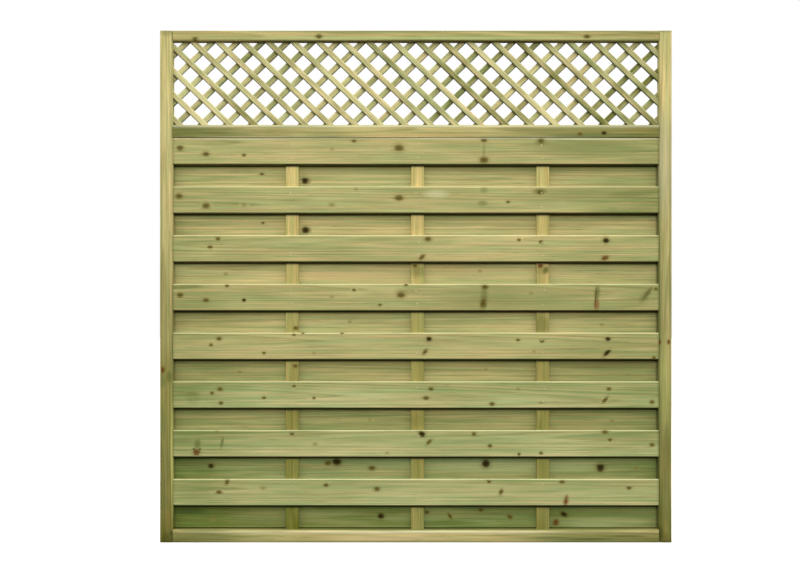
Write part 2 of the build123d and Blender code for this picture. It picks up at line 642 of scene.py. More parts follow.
    def knotted(self, wood: Socket, look: KnotLook, distance: Socket) -> tuple[Socket, Socket]:
        """The wood with one kind of knot in it.

        Args:
            wood: The colour of the wood round them.
            look: The knots' colours.
            distance: How far the nearest of them is, in its own radii.

        Returns:
            The colour with the knots, and how much bark there is at their rims.
        """
        heart, rim = linear(look.heart), linear(look.rim)
        outer = self.add("MapRange", (distance, 0.15, 0.8), **SMOOTH)
        knot = self.add("Mix", {0: outer, MIX_A: heart, MIX_B: rim}, MIXED, **COLOURS)
        rise = self.add("MapRange", (distance, 0.6, 0.9, 0.0, 0.6), **SMOOTH)
        drop = self.add("MapRange", (distance, 0.9, 1.2, 1.0, 0.0), **SMOOTH)
        bark = self.add("Math", (rise, drop), operation="MULTIPLY")
        knot = self.add("Mix", {0: bark, MIX_A: knot, MIX_B: heart}, MIXED, **COLOURS)
        halo = self.add("MapRange", (distance, 0.9, 2.2, 0.3 * look.strength, 0.0), **SMOOTH)
        wood = self.add("Mix", {0: halo, MIX_A: wood, MIX_B: rim}, MIXED, **COLOURS)
        core = self.add("MapRange", (distance, 0.65, 1.25, look.strength, 0.0), **SMOOTH)
        return self.add("Mix", {0: core, MIX_A: wood, MIX_B: knot}, MIXED, **COLOURS), bark


@dataclass(frozen=True)
class LathRows:
    """Where the laths of the trellis run, in metres.

    front_start and back_start are where one lath of each layer crosses the height `level`,
    width_between is the step from lath to lath along a rail, and half_width is half a lath's
    width.
    """

    level: float = 0.7155
    front_start: float = 0.8884
    back_start: float = 0.9118
    width_between: float = 0.0885
    half_width: float = 0.010

    def across_pitch(self) -> float:
        """The step from lath to lath, square to the laths."""
        return self.width_between * math.sin(Grain.RISING.value)

    def crossings(self, low: Vector, high: Vector, margin: float) -> list[tuple[float, float]]:
        """The X and Z of each crossing in a box.

        Args:
            low: The box's lowest corner.
            high: Its highest corner.
            margin: How far inside the box a crossing has to be.

        Returns:
            The crossings.
        """
        half = self.width_between / 2
        slope = math.tan(Grain.RISING.value)
        middle_x = (self.front_start + self.back_start) / 2
        middle_z = self.level + slope * (self.front_start - self.back_start) / 2
        across, up = int((high.x - low.x) / half), int((high.z - low.z) / (slope * half))
        found = []
        for i in range(-across, across + 1):
            for j in range(-up, up + 1):
                x, z = middle_x + i * half, middle_z + j * slope * half
                beside = low.x + margin < x < high.x - margin
                between = low.z + margin < z < high.z - margin
                if (i + j) % 2 == 0 and beside and between:
                    found.append((x, z))
        return found


class LathPattern(TimberPattern):
    """Draws the grain of both layers of laths, each lath with wood of its own.

    wear_spread is how far a lath's wear may be from the others', and back_wear how much damper
    the back layer is. worn is how strongly the laths' upper edges are lightened as a painted
    highlight, dirty how dark their lower edges are painted as shade, and shaded how dark the
    painted shadow below a crossing is, all from 0 to 1.
    """

    rows = LathRows()
    wear_spread = 0.3
    back_wear = 0.1
    # A painted highlight on the upper edges, painted shade on the lower ones, and a painted shadow
    # below crossings.
    worn = 0.45
    painted_shade = 0.7
    shaded = 0.5

    def grain_space(self) -> tuple[Socket, tuple[float, float]]:
        """Lays each lath's grain along X, with depth as Y and its middle line as 0.

        Returns:
            The place as its lath has it, and 0 for the middle.
        """
        rows = self.rows
        # The layers meet at depth 0, where the way that a face looks tells whose it is.
        normal = self.add("TexCoord", out="Normal")
        outward = self.add("VectorMath", {0: normal, "Scale": -MM}, operation="SCALE")
        inward = self.add("VectorMath", (self.place, outward), operation="ADD")
        just_inside = self.add("SeparateXYZ", (inward,), "Y")
        self.behind = self.add("Math", (just_inside, 0.0), operation="GREATER_THAN")
        spaces = []
        for grain, start in ((Grain.FALLING, rows.front_start), (Grain.RISING, rows.back_start)):
            offset = (0.0, 0.0, -grain.turn(start, rows.level)[1])
            spaces.append(self.add("Mapping", (self.place, offset, (0.0, grain.value, 0.0))))
        choice = {0: self.behind, VECTOR_A: spaces[0], VECTOR_B: spaces[1]}
        chosen = self.add("Mix", choice, MIXED_VECTOR, data_type="VECTOR")
        length, depth, across = self.add("SeparateXYZ", (chosen,)).node.outputs
        pitch, half = rows.across_pitch(), rows.across_pitch() / 2
        number = self.add("Math", (across, pitch), operation="DIVIDE")
        number = self.add("Math", (number,), operation="ROUND")
        across = self.add("Math", (number, -pitch, across), operation="MULTIPLY_ADD")
        front, back = (self.add("SeparateXYZ", (space,), "Z") for space in spaces)
        other = self.add("Mix", {0: self.behind, NUMBER_A: back, NUMBER_B: front})
        self.from_other = self.add("Math", (other, half, -half), operation="WRAP")
        # A lath's number and layer throw its dice, which also slides the pattern along it.
        layer = self.add("Math", (self.behind, 71.3, number), operation="MULTIPLY_ADD")
        self.dice = self.add("TexWhiteNoise", {"W": layer}, noise_dimensions="1D")
        along = self.add("Math", (self.dice, 37.0, length), operation="MULTIPLY_ADD")
        return self.add("CombineXYZ", (along, depth, across)), (0.0, 0.0)

    def own_wear(self) -> Socket:
        """Weathers each lath in its own way. Those of the back layer are damper.

        Returns:
            How much more weathered than the rest a part of a lath is.
        """
        own = self.add("MapRange", (self.dice, 0.0, 1.0, -self.wear_spread, self.wear_spread))
        own = self.add("Math", (self.behind, self.back_wear, own), operation="MULTIPLY_ADD")
        return self.add("Math", (own, super().own_wear()), operation="ADD")

    def coats(self) -> Iterator[tuple[Socket, str]]:
        """Painted highlight on each lath's upper edge, painted shade on its lower one and under
        crossings.

        Yields:
            How much of the coat there is, from 0 to 1, and its colour.
        """
        across = self.add("SeparateXYZ", (self.along,), "Z")
        half = self.rows.half_width
        # A painted highlight on the upper edge.
        upper = (0.7 * half, half, 0.0, self.worn)
        yield self.add("MapRange", (across, *upper), **SMOOTH), self.finish.painted_highlight
        # Painted shade on the lower edge.
        lower = (-0.95 * half, -0.5 * half, self.painted_shade, 0.0)
        yield self.add("MapRange", (across, *lower), **SMOOTH), self.finish.shade_paint
        # A painted shadow just below where a lath of the other layer crosses.
        under = (-1.8 * half, -1.05 * half, 0.0, self.shaded)
        below = self.add("MapRange", (self.from_other, *under), **SMOOTH)
        beside = self.add("Math", (self.from_other, half), operation="LESS_THAN")
        below = self.add("Math", (below, beside), operation="MULTIPLY")
        # Only the faces where the layers meet, at depth 0, lie under the other layer.
        from_middle = self.add("Math", (self.depth,), operation="ABSOLUTE")
        between = self.add("MapRange", (from_middle, MM, 3 * MM, 1.0, 0.0))
        yield self.add("Math", (below, between), operation="MULTIPLY"), self.finish.shade_paint


def dress(node: str, material: bpy.types.Material) -> None:
    """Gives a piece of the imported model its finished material.

    Args:
        node: The piece's name.
        material: The material.
    """
    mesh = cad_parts[node].data
    mesh.materials.clear()
    mesh.materials.append(material)
    LOG.info("dressed %s", node)


def dress_timber(node: str, finish: TreatedPine, timber: Timber) -> None:
    """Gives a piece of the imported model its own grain, knots and stains."""
    name = f"pressure_treated_planed_pine_{node}"
    dress(node, TimberPattern(name, finish, timber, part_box(node)).build())


@dataclass(frozen=True)
class Frame:
    """The stiles and the rails."""

    finish: TreatedPine = TreatedPine(
        # The frame's painted highlight is a paler cream.
        fresh="#cfc38f", weathered="#62611c", painted_highlight="#ebe6c8", ring_width_mm=4.5,
        pith_depth_mm=40.0, streak_width_mm=6.0, streak_depth=0.15)
    # Moss, and also painted shade along the stiles' arrises.
    moss_and_shade: str = "#48541f"
    damp: str = "#6a6f36"
    algae: str = "#5a6a38"
    olive: str = "#6c6e20"
    fern: str = "#a3a860"
    # A pale green painted as light on an arris that faces down.
    painted_light_green: str = "#a2bc78"
    # A painted highlight on a stile's inner arris.
    arris_highlight: str = "#bcba68"
    silver: str = "#b4b294"
    # Painted light, for arrises that face away from the light.
    painted_light: str = "#f4f0d6"
    straw: str = "#e6cc98"
    tan: str = "#c6a468"
    tea: str = "#8a6c34"
    # The dark feet of the stiles, and painted shade under the top rail.
    foot: str = "#3c3d12"

    def dress(self) -> None:
        """Gives the frame's five pieces their grain."""
        left_marks = (Knot(163, 370, 6, KnotKind.RED, 1.8, 90),)
        right_marks = (Knot(659.5, 342, 5, KnotKind.RED, 1.5, 90),
                       Knot(668.5, 342, 5, KnotKind.RED, 1.5, 90))
        dress_timber("left_stile", self.finish, Timber(
            Grain.UPRIGHT, 1, Wear(-0.12, 0.98), shade=0.97, pith_mm=12, knots=left_marks,
            stains=(
                # Moss and painted shade darken the outer arris, and the yellow-green line on the
                # inner arris is a painted highlight.
                Stain(161.6, 290, 290, 1.1, self.moss_and_shade, 0.35, 90),
                Stain(172, 455, 80, 1.7, self.arris_highlight, 0.8, 90),
                Stain(166, 395, 60, 9, self.olive, 0.4, 90),
                Stain(163, 381, 8, 3.5, self.algae, 0.6, 90),
                Stain(169.5, 377, 7, 3.5, self.moss_and_shade, 0.6, 90),
                Stain(163, 425, 22, 3, self.algae, 0.5, 90),
                Stain(166, 502, 8, 3.5, self.algae, 0.4, 90),
                Stain(168.5, 518, 11, 2, self.tea, 0.5, 90),
                Stain(167, 31.5, 9, 5.5, self.damp, 0.5),
                Stain(171, 533, 3, 1.5, self.foot, 0.8, 80),
                Stain(167, 540, 9, 8, self.foot, 0.5, 90),
                Stain(166, 542.5, 9, 2.2, self.foot, 0.7))))
        dress_timber("right_stile", self.finish, Timber(
            Grain.UPRIGHT, 2, Wear(-0.05, 0.83), pith_mm=-9, knots=right_marks,
            stains=(
                Stain(661.5, 300, 290, 3.2, self.moss_and_shade, 0.25, 90),
                # Painted shade darkens the inner arris, and moss with painted shade the outer one.
                Stain(658.8, 330, 300, 2.2, self.moss_and_shade, 0.75, 90),
                Stain(669.6, 290, 290, 1.1, self.moss_and_shade, 0.35, 90),
                Stain(665, 385, 55, 8, self.fern, 0.45, 90),
                Stain(666, 500, 30, 7, self.algae, 0.35, 90),
                Stain(665, 540, 9, 8, self.foot, 0.4, 90),
                Stain(664, 165, 60, 9, self.silver, 0.35, 90),
                Stain(665, 30.6, 9, 2.5, self.damp, 0.5),
                Stain(660.5, 533, 9, 3, self.foot, 0.7, 90),
                Stain(665, 542.5, 9, 2.2, self.foot, 0.6))))
        dress_timber("top_rail", self.finish, Timber(
            Grain.LEVEL, 3, Wear(0.32, 0.32, 0.0, 0.2), pith_mm=-8,
            knots=(Knot(195, 39, 6.5), Knot(319, 36.6, 7.5), Knot(587, 36.5, 7.5)),
            stains=(
                # The green band on the lower arris and the pale band below it are painted light,
                # and the dark line between them painted shade.
                Stain(415, 38.2, 260, 1.7, self.painted_light_green, 0.6),
                Stain(415, 30.8, 260, 1.4, self.moss_and_shade, 0.55),
                Stain(415, 40.9, 260, 1.0, self.foot, 0.75),
                Stain(415, 42.4, 260, 0.9, self.painted_light, 0.6))))
        dress_timber("middle_rail", self.finish, Timber(
            # Its upper arris and the face below it get a painted highlight.
            Grain.LEVEL, 4, Wear(0.33, 0.33, 0.6, 0.48), pith_mm=10, highlight_mm=16.0, worn=0.22,
            knots=(Knot(580, 134, 6), Knot(604, 133, 6, KnotKind.DEAD)),
            stains=(
                Stain(420, 135.5, 85, 2.2, self.tan, 0.5), Stain(205, 132, 70, 9, self.algae, 0.45),
                Stain(276, 132, 22, 9, self.damp, 0.3), Stain(212, 133, 24, 1.5, self.moss_and_shade, 0.5),
                Stain(232, 135, 38, 1.8, self.algae, 0.5), Stain(515, 129, 32, 3, self.damp, 0.6),
                Stain(570, 132, 55, 9, self.damp, 0.7), Stain(605, 135.5, 75, 3.2, self.algae, 0.6),
                Stain(415, 124.9, 260, 1.2, self.damp, 0.45),
                # The pale line along the lower arris is painted light.
                Stain(415, 137.6, 260, 0.8, self.painted_light, 0.85))))
        dress_timber("bottom_rail", self.finish, Timber(
            # Its lower arris gets painted shade.
            Grain.LEVEL, 5, Wear(0.12, 0.42, 0.55, 0.4), pith_mm=-12, shaded_edge_mm=4.0,
            stains=(
                Stain(205, 536, 45, 9, self.algae, 0.4), Stain(205, 531, 30, 1.5, self.algae, 0.4),
                Stain(385, 538, 65, 4.5, self.straw, 0.45),
                Stain(415, 529.3, 300, 1.7, self.moss_and_shade, 0.95),
                # The pale band on the upper arris is a painted highlight.
                Stain(415, 532.2, 260, 1.2, self.painted_light, 0.4),
                Stain(585, 536, 65, 9, self.damp, 0.65), Stain(590, 540, 80, 4.5, self.algae, 0.45),
                Stain(588, 539, 30, 1.3, self.moss_and_shade, 0.7), Stain(628, 536, 24, 1.2, self.moss_and_shade, 0.6),
                Stain(552, 537.5, 26, 1.2, self.moss_and_shade, 0.5))))


def slot_shade_under(boards: str) -> SlotShade:
    """Painted shade under the front or the back boards, by the name that those start with."""
    first, second = (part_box(f"{boards}_{row}")[0].z for row in (1, 2))
    return SlotShade(first, first - second, behind=boards == "back_board")


@dataclass(frozen=True)
class BoardRows:
    """The two rows of boards."""

    finish: TreatedPine = TreatedPine()
    # The lowest of each row are greyer where they are pale, and greener where they are damp.
    low_finish: TreatedPine = TreatedPine(fresh="#ccca9b", weathered="#6d7c3e")
    # The topmost front board's painted highlight reaches further down than its arris.
    arris_mm: float = 4.5
    long_highlight_mm: float = 7.0
    pith_spread_mm: float = 30.0
    drift_spread: float = 0.018
    # The lowest boards stay damp longest, along their upper edges and beside the stiles.
    front_wear: tuple[Wear, ...] = (
        Wear(0.33, 0.31, 0.1, 0.36), Wear(0.40, 0.38, 0.2, 0.33), Wear(0.36, 0.36, 0.08, 0.12),
        Wear(0.44, 0.40, 0.12, 0.18), Wear(0.40, 0.37, 0.2, 0.15), Wear(0.52, 0.24, 0.25, 0.13),
        Wear(0.58, 0.17, 0.25, 0.12), Wear(0.50, 0.26, 0.25, 0.1))
    back_wear: tuple[Wear, ...] = (
        Wear(0.28, 0.28, 0.08, 0.28), Wear(0.29, 0.29, 0.2, 0.08), Wear(0.22, 0.22, 0.05, 0.14),
        Wear(0.31, 0.31, 0.18, 0.24), Wear(0.53, 0.5, 0.14, 0.15), Wear(0.6, 0.58, 0.03, 0.14),
        Wear(0.68, 0.62, 0.28, 0.2), Wear(0.88, 0.88, 0.32, -0.15))

    def front_knots(self) -> tuple[tuple[Knot, ...], ...]:
        """Lists the knots of the front boards.

        Returns:
            Each board's knots, from the top down.
        """
        dead, red, faint, tight = KnotKind.DEAD, KnotKind.RED, KnotKind.FAINT, KnotKind.TIGHT
        return (
            (Knot(180, 148), Knot(206, 154, 8.5), Knot(244, 155, 5.5), Knot(354, 141, 5),
             Knot(332, 149, 5, faint), Knot(399, 148, 12), Knot(484, 160, 9.5, tight, 1.7),
             Knot(484, 140.5, 5.5, tight, 2.0), Knot(541, 141, 8)),
            (Knot(179, 196), Knot(206, 205.5, 10.5), Knot(244, 205, 7, faint),
             Knot(356, 189, 5, faint), Knot(399, 198, 11), Knot(332, 205, 7, faint),
             Knot(540, 192, 8), Knot(508, 202, 5)),
            (Knot(218, 239, 6), Knot(210, 247, 6.5), Knot(428, 239, 8),
             Knot(422, 257, 7, tight, 1.8, 40), Knot(519, 240, 5.5), Knot(541, 242, 6),
             Knot(606, 240.5, 9.5, dead, 1.1), Knot(605, 258, 8, red, 1.7, 15)),
            (Knot(227, 286, 5), Knot(180, 295, 8), Knot(206, 300, 7.5),
             Knot(244, 300, 6, dead, 1.1), Knot(354, 290, 5), Knot(332, 297, 5, faint),
             Knot(380, 305, 4.5), Knot(401, 295, 10.5), Knot(406, 285, 5), Knot(485, 287, 7.5),
             Knot(483, 303, 9, tight, 2.0, 75), Knot(531, 293, 4.5, faint), Knot(656, 289, 5)),
            (Knot(219, 339, 6.5), Knot(211, 345, 5), Knot(264, 353, 4.5),
             Knot(314, 353, 4.5, faint), Knot(294, 335, 4), Knot(303, 333, 4), Knot(342, 333, 4.5),
             Knot(429, 339, 8, dead, 1.2), Knot(425, 352, 6.5, tight, 1.8, 50), Knot(518, 340, 4.5),
             Knot(542, 341, 5.5), Knot(534, 351, 4, faint), Knot(608, 339, 7.5, dead, 1.2),
             Knot(607, 353, 7, dead, 2.2, 42), Knot(654, 358, 5)),
            (Knot(220, 389, 7), Knot(212, 393, 5), Knot(264, 398, 5), Knot(314, 398, 5),
             Knot(294, 386, 4.5), Knot(221, 403, 6.5, tight, 1.2), Knot(431, 389, 6),
             Knot(426, 398, 7), Knot(492, 404, 6.5), Knot(518, 389, 5, faint), Knot(609, 389, 6),
             Knot(605, 400, 6.5, tight, 2.2, 45), Knot(652, 402, 6), Knot(541, 403, 5, faint)),
            (Knot(217, 432, 6.5, faint), Knot(196.5, 452.3, 10, red, 1.25), Knot(292, 434, 5),
             Knot(315, 444, 6, faint), Knot(422, 434, 9, dead, 1.3, -30),
             Knot(429, 442, 6.5, tight, 1.8, 35), Knot(474, 434, 6),
             Knot(490, 446, 6.5, tight, 1.1), Knot(387, 453, 5, faint),
             Knot(519, 454, 5.5, tight, 1, 80), Knot(541, 453, 5), Knot(605, 432, 6.5, tight, 1.8),
             Knot(610, 440, 5), Knot(652, 445, 6)),
            (Knot(227, 482, 7, tight, 1.4, 60), Knot(219, 492, 7), Knot(263, 488, 7, faint),
             Knot(326, 485, 6), Knot(377, 489, 7), Knot(489, 482, 5),
             Knot(501, 492, 7.5, tight, 1.4, 60), Knot(562, 482, 5.5, tight, 1.8),
             Knot(629, 488, 6)),
        )

    def back_knots(self) -> tuple[tuple[Knot, ...], ...]:
        """Lists the knots of the back boards.

        Returns:
            Each board's knots, from the top down.
        """
        dead, faint, tight = KnotKind.DEAD, KnotKind.FAINT, KnotKind.TIGHT
        return (
            (Knot(262, 174, 4, tight, 2), Knot(305, 181, 12, dead, 0.9)),
            (Knot(263, 223, 4.5, tight, 1.2), Knot(305.5, 230, 12, dead, 1.1)),
            (Knot(480, 271, 5, faint), Knot(226, 274, 5, faint)),
            (Knot(350, 322, 5.5, faint), Knot(602, 325, 5, faint)),
            (Knot(240, 372, 5, faint), Knot(486, 370, 5.5, faint)),
            (Knot(370, 420, 5.5, faint), Knot(612, 421, 5, faint)),
            (Knot(211, 466, 8, dead, 1.3), Knot(328, 463, 8), Knot(337, 461.5, 13, dead, 1.2),
             Knot(372, 468, 8.5), Knot(486, 463.5, 13.5, dead, 1.05),
             Knot(600.5, 467.5, 13.5, dead, 1.05), Knot(636, 468, 6.5, faint)),
            (Knot(213, 518, 7, faint), Knot(381, 516, 9.5, dead, 1.2), Knot(427, 512, 6),
             Knot(450, 516, 6, tight, 2, -55), Knot(481, 510, 6.5),
             Knot(510, 517, 7.5, tight, 1.4, -30), Knot(564, 514, 8, dead, 1.6, -30),
             Knot(556, 522, 10, KnotKind.RED, 1.2, 60)),
        )

    def stains(self) -> dict[str, tuple[Stain, ...]]:
        """Lists the streaks and smudges that stand out.

        Returns:
            Each board's stains, by its name.
        """
        brown, olive, rust, bark = "#5d5223", "#5b602a", "#7e431a", "#3a2a10"
        damp, tan, pale, algae, fern = "#747a45", "#c6ad76", "#a9ac76", "#34451f", "#6f8c5c"
        pale_and_highlight = "#e6e4b8"
        return {
            "front_board_1": (
                Stain(484, 150, 9, 1.8, olive, 0.4, 88), Stain(484, 160, 5, 5, olive, 0.5),
                Stain(541, 143, 9, 3, olive, 0.5), Stain(578, 146, 60, 13, damp, 0.65),
                # The pale lines along the top arris are a painted highlight.
                Stain(600, 139, 75, 1.2, pale_and_highlight, 0.75), Stain(470, 138.2, 80, 0.9, pale_and_highlight, 0.7),
                Stain(235, 139, 75, 1.2, pale_and_highlight, 0.35)),
            "front_board_2": (
                Stain(484, 190, 5, 4, olive, 0.5), Stain(482.5, 203, 6, 3.5, olive, 0.55),
                Stain(540, 191, 9, 3.5, olive, 0.7), Stain(625, 195, 28, 4, olive, 0.4),
                Stain(572, 193, 45, 10, damp, 0.5), Stain(436, 194, 15, 5, pale_and_highlight, 0.3)),
            "front_board_4": (
                Stain(597, 293, 9, 3.6, olive, 0.8, 84), Stain(596.5, 304.5, 7, 3.4, rust, 0.9, 88),
                Stain(595.7, 298, 12, 1, bark, 0.8, 86), Stain(484, 297, 14, 4.5, olive, 0.7, 88),
                Stain(647.5, 293.5, 9, 2.4, brown, 0.9, 52),
                Stain(645, 296, 11, 4.5, olive, 0.5, 52), Stain(485, 305, 4, 2, bark, 0.6, 80),
                Stain(408, 291, 15, 4, olive, 0.35), Stain(520, 297, 90, 14, damp, 0.5)),
            "front_board_6": (Stain(193, 398, 9, 8, olive, 0.3),),
            "front_board_7": (
                Stain(197.5, 444, 6, 4, olive, 0.75, 85), Stain(222, 443, 7, 2, olive, 0.8, 80),
                Stain(194, 449.3, 2.2, 1.2, bark, 0.8, -60),
                Stain(199.8, 449.5, 2.4, 1.2, bark, 0.8, 60), Stain(182, 440.5, 14, 3, damp, 0.6)),
            "front_board_8": (
                Stain(566, 501, 7, 3.4, rust, 0.85, 80), Stain(566, 500, 6, 1.4, bark, 0.6, 80)),
            "back_board_1": (
                # The long olive band just under the slot is painted shade.
                Stain(308, 181, 4, 3.5, brown, 0.55), Stain(460, 168, 260, 7.5, olive, 0.35)),
            "back_board_2": (
                # The long olive band just under the slot is painted shade.
                Stain(308, 230, 4, 3.5, brown, 0.55), Stain(480, 217, 260, 6, olive, 0.25)),
            "back_board_3": (
                Stain(360, 273, 130, 9, tan, 0.45), Stain(480, 273, 60, 7, tan, 0.3)),
            "back_board_5": (Stain(612, 364, 60, 7, olive, 0.45),),
            "back_board_7": (
                Stain(490, 466, 100, 9, pale, 0.55), Stain(395, 464, 30, 5, pale, 0.4),
                Stain(576, 466, 26, 7, pale, 0.5), Stain(290, 470, 50, 6, olive, 0.2),
                Stain(415, 460.5, 260, 2.5, fern, 0.5), Stain(196, 464, 26, 6, algae, 0.35)),
            "back_board_8": (
                Stain(600, 522, 60, 7, pale, 0.4), Stain(190, 511, 20, 4, algae, 0.6),
                Stain(330, 513, 40, 3.5, pale, 0.3), Stain(275, 522, 60, 5, olive, 0.4),
                Stain(410, 518, 45, 5, pale, 0.25), Stain(592, 524, 30, 4, pale, 0.4)),
        }

    def dress(self) -> None:
        """Gives each board its own grain, wear and knots."""
        # The row and the one beside it, its wear and knots, its first seed, how many of its boards
        # have the upper finish, and how dark the painted shade at their ends is.
        rows = (
            ("front_board", "back_board", self.front_wear, self.front_knots(), 20, 5, (0.2, 0.2)),
            ("back_board", "front_board", self.back_wear, self.back_knots(), 60, 6, (0.3, 0.65)),
        )
        stains = self.stains()
        for name, other, wears, knots, first_seed, upper_boards, shaded_ends in rows:
            for row, (wear, marks) in enumerate(zip(wears, knots)):
                seed = first_seed + row
                node = f"{name}_{row + 1}"
                wander = random.Random(seed)
                finish = self.finish if row < upper_boards else self.low_finish
                dress_timber(node, finish, Timber(
                    Grain.LEVEL, seed, wear,
                    pith_mm=wander.uniform(-self.pith_spread_mm, self.pith_spread_mm),
                    drift=wander.uniform(-self.drift_spread, self.drift_spread),
                    # The upper arris gets a painted highlight, and the lower arris, the ends by the
                    # frame and the slots under the other row get painted shade.
                    highlight_mm=self.long_highlight_mm if node == "front_board_1" else self.arris_mm,
                    shaded_edge_mm=self.arris_mm, shaded_ends=shaded_ends, knots=marks, stains=stains.get(node, ()),
                    slots=(slot_shade_under(other),)))


@dataclass(frozen=True)
class Battens:
    """The three uprights between the rows of boards."""

    finish: TreatedPine = TreatedPine(ring_width_mm=4.5, fresh="#dac88c", weathered="#666a20")
    smudge: str = "#565a26"
    damp: str = "#6c7226"

    def dress(self) -> None:
        """Gives the battens their upright grain."""
        marks = (
            ("left_batten", Wear(0.06, 0.94), (Knot(296, 328, 6.5), Knot(296, 366, 6.5)),
             (Stain(292, 430, 80, 14, self.damp, 0.4, 90),
              Stain(292.5, 440, 110, 1.2, self.smudge, 0.4, 90))),
            ("middle_batten", Wear(0.1, 0.66), (Knot(415, 265.5, 6.5),),
             (Stain(418, 270, 10, 9, self.smudge, 0.6), Stain(418, 420, 10, 9, self.smudge, 0.35),
              Stain(418, 222, 10, 12, self.smudge, 0.15),
              Stain(418, 390, 130, 14, self.damp, 0.4, 90))),
            ("right_batten", Wear(0.2, 0.75), (Knot(540.6, 265.7, 8, KnotKind.RED, 1.2),),
             (Stain(546, 270, 5, 3.5, self.smudge, 0.8, 60),
              Stain(541, 270, 9, 5, self.smudge, 0.35), Stain(542, 324, 9, 14, self.smudge, 0.6),
              Stain(542, 400, 130, 14, self.damp, 0.2, 90),
              Stain(535.5, 440, 110, 2, self.smudge, 0.35, 90))),
        )
        for seed, (node, wear, knots, stains) in enumerate(marks, 90):
            dress_timber(node, self.finish, Timber(
                Grain.UPRIGHT, seed, wear, pith_mm=6, knots=knots, stains=stains,
                # Painted shade under both rows of boards.
                slots=(slot_shade_under("front_board"), slot_shade_under("back_board"))))


@dataclass(frozen=True)
class Trellis:
    """The two layers of laths."""

    finish: TreatedPine = TreatedPine(
        fresh="#d8d0a4", weathered="#777a42", ring_width_mm=4.0, pith_depth_mm=25.0,
        cloud_length_mm=90.0, cloud_width_mm=30.0, patchiness=0.32)

    def dress(self) -> None:
        """Gives the laths their grain."""
        timber = Timber(Grain.FALLING, 120, Wear(0.35, 0.4, -0.4, 0.15))
        name = "pressure_treated_planed_pine_laths"
        dress("trellis", LathPattern(name, self.finish, timber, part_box("trellis")).build())


@dataclass(frozen=True)
class Zinc:
    """Hot-dipped zinc on steel: pale grey with a soft shine, and patches gone dull and yellow."""

    bright: str = "#d6cb9e"
    dull: str = "#a39a72"
    metallic: float = 0.8
    roughness: float = 0.45
    patch_mm: float = 2.0

    def build(self, name: str) -> bpy.types.Material:
        """Makes the material.

        Args:
            name: The material's name.

        Returns:
            The material.
        """
        material = bpy.data.materials.new(name)
        material.use_nodes = True
        tree = material.node_tree
        tree.nodes.clear()
        place = add_node(tree, "TexCoord", out="Object")
        patch = add_node(tree, "TexNoise", {"Vector": place, "Scale": 1 / (self.patch_mm * MM)})
        bright, dull = linear(self.bright), linear(self.dull)
        colour = add_node(tree, "Mix", {0: patch, MIX_A: bright, MIX_B: dull}, MIXED, **COLOURS)
        surface = add_node(tree, "BsdfPrincipled", {
            "Base Color": colour, "Metallic": self.metallic, "Roughness": self.roughness,
        })
        add_node(tree, "OutputMaterial", {"Surface": surface})
        return material


